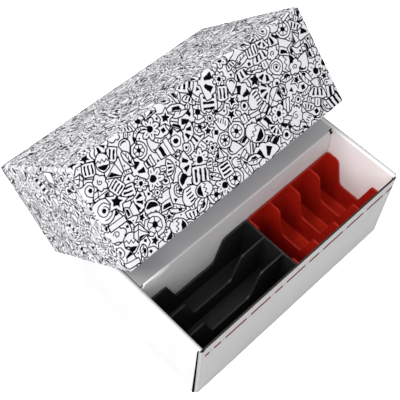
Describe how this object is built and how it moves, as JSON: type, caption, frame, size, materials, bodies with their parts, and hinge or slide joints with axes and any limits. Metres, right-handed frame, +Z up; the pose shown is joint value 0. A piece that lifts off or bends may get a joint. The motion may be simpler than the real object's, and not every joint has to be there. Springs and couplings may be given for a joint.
{
  "type": "card storage box",
  "caption": "Long card storage box of folded board with a deep telescoping lid, an insert and lift-out divided trays in its front half.",
  "frame": {"origin": "middle of the underside of the base, on the surface that it stands on", "axes": "+X along the base towards the red tray, -Y the front with the trays, +Z up; the lid is off, tilted over the back"},
  "size_m": [0.2908, 0.2901, 0.2197],
  "materials": {
    "white_board": "white coated folding board",
    "insert_board": "white coated card",
    "printed_board": "white board with black line print outside, plain white inside",
    "black_plastic": "satin moulded",
    "red_plastic": "satin moulded"
  },
  "bodies": {
    "base": {"floor": "white_board", "front_wall": "white_board", "back_wall": "white_board", "left_end_wall": "white_board", "right_end_wall": "white_board", "front_left_flap": "white_board", "front_right_flap": "white_board", "back_left_flap": "white_board", "back_right_flap": "white_board", "insert_partition": "insert_board", "insert_deck": "insert_board", "insert_back_leg": "insert_board"},
    "black_tray_body": {"black_tray": "black_plastic"},
    "red_tray_body": {"red_tray": "red_plastic"},
    "lid": {"lid_top": "printed_board", "lid_front_wall": "printed_board", "lid_back_wall": "printed_board", "lid_left_wall": "printed_board", "lid_right_wall": "printed_board", "lid_front_left_flap": "white_board", "lid_front_right_flap": "white_board", "lid_back_left_flap": "white_board", "lid_back_right_flap": "white_board"}
  },
  "joints": [
    {"name": "black_tray_lift", "type": "slide", "parent": "base", "child": "black_tray_body", "axis": [0, 0, 1], "range_m": [0, 0.12]},
    {"name": "red_tray_lift", "type": "slide", "parent": "base", "child": "red_tray_body", "axis": [0, 0, 1], "range_m": [0, 0.12]},
    {"name": "lid_lift", "type": "slide", "parent": "base", "child": "lid", "axis": [0, 0.7157, 0.6984], "range_m": [0, 0.16]}
  ]
}
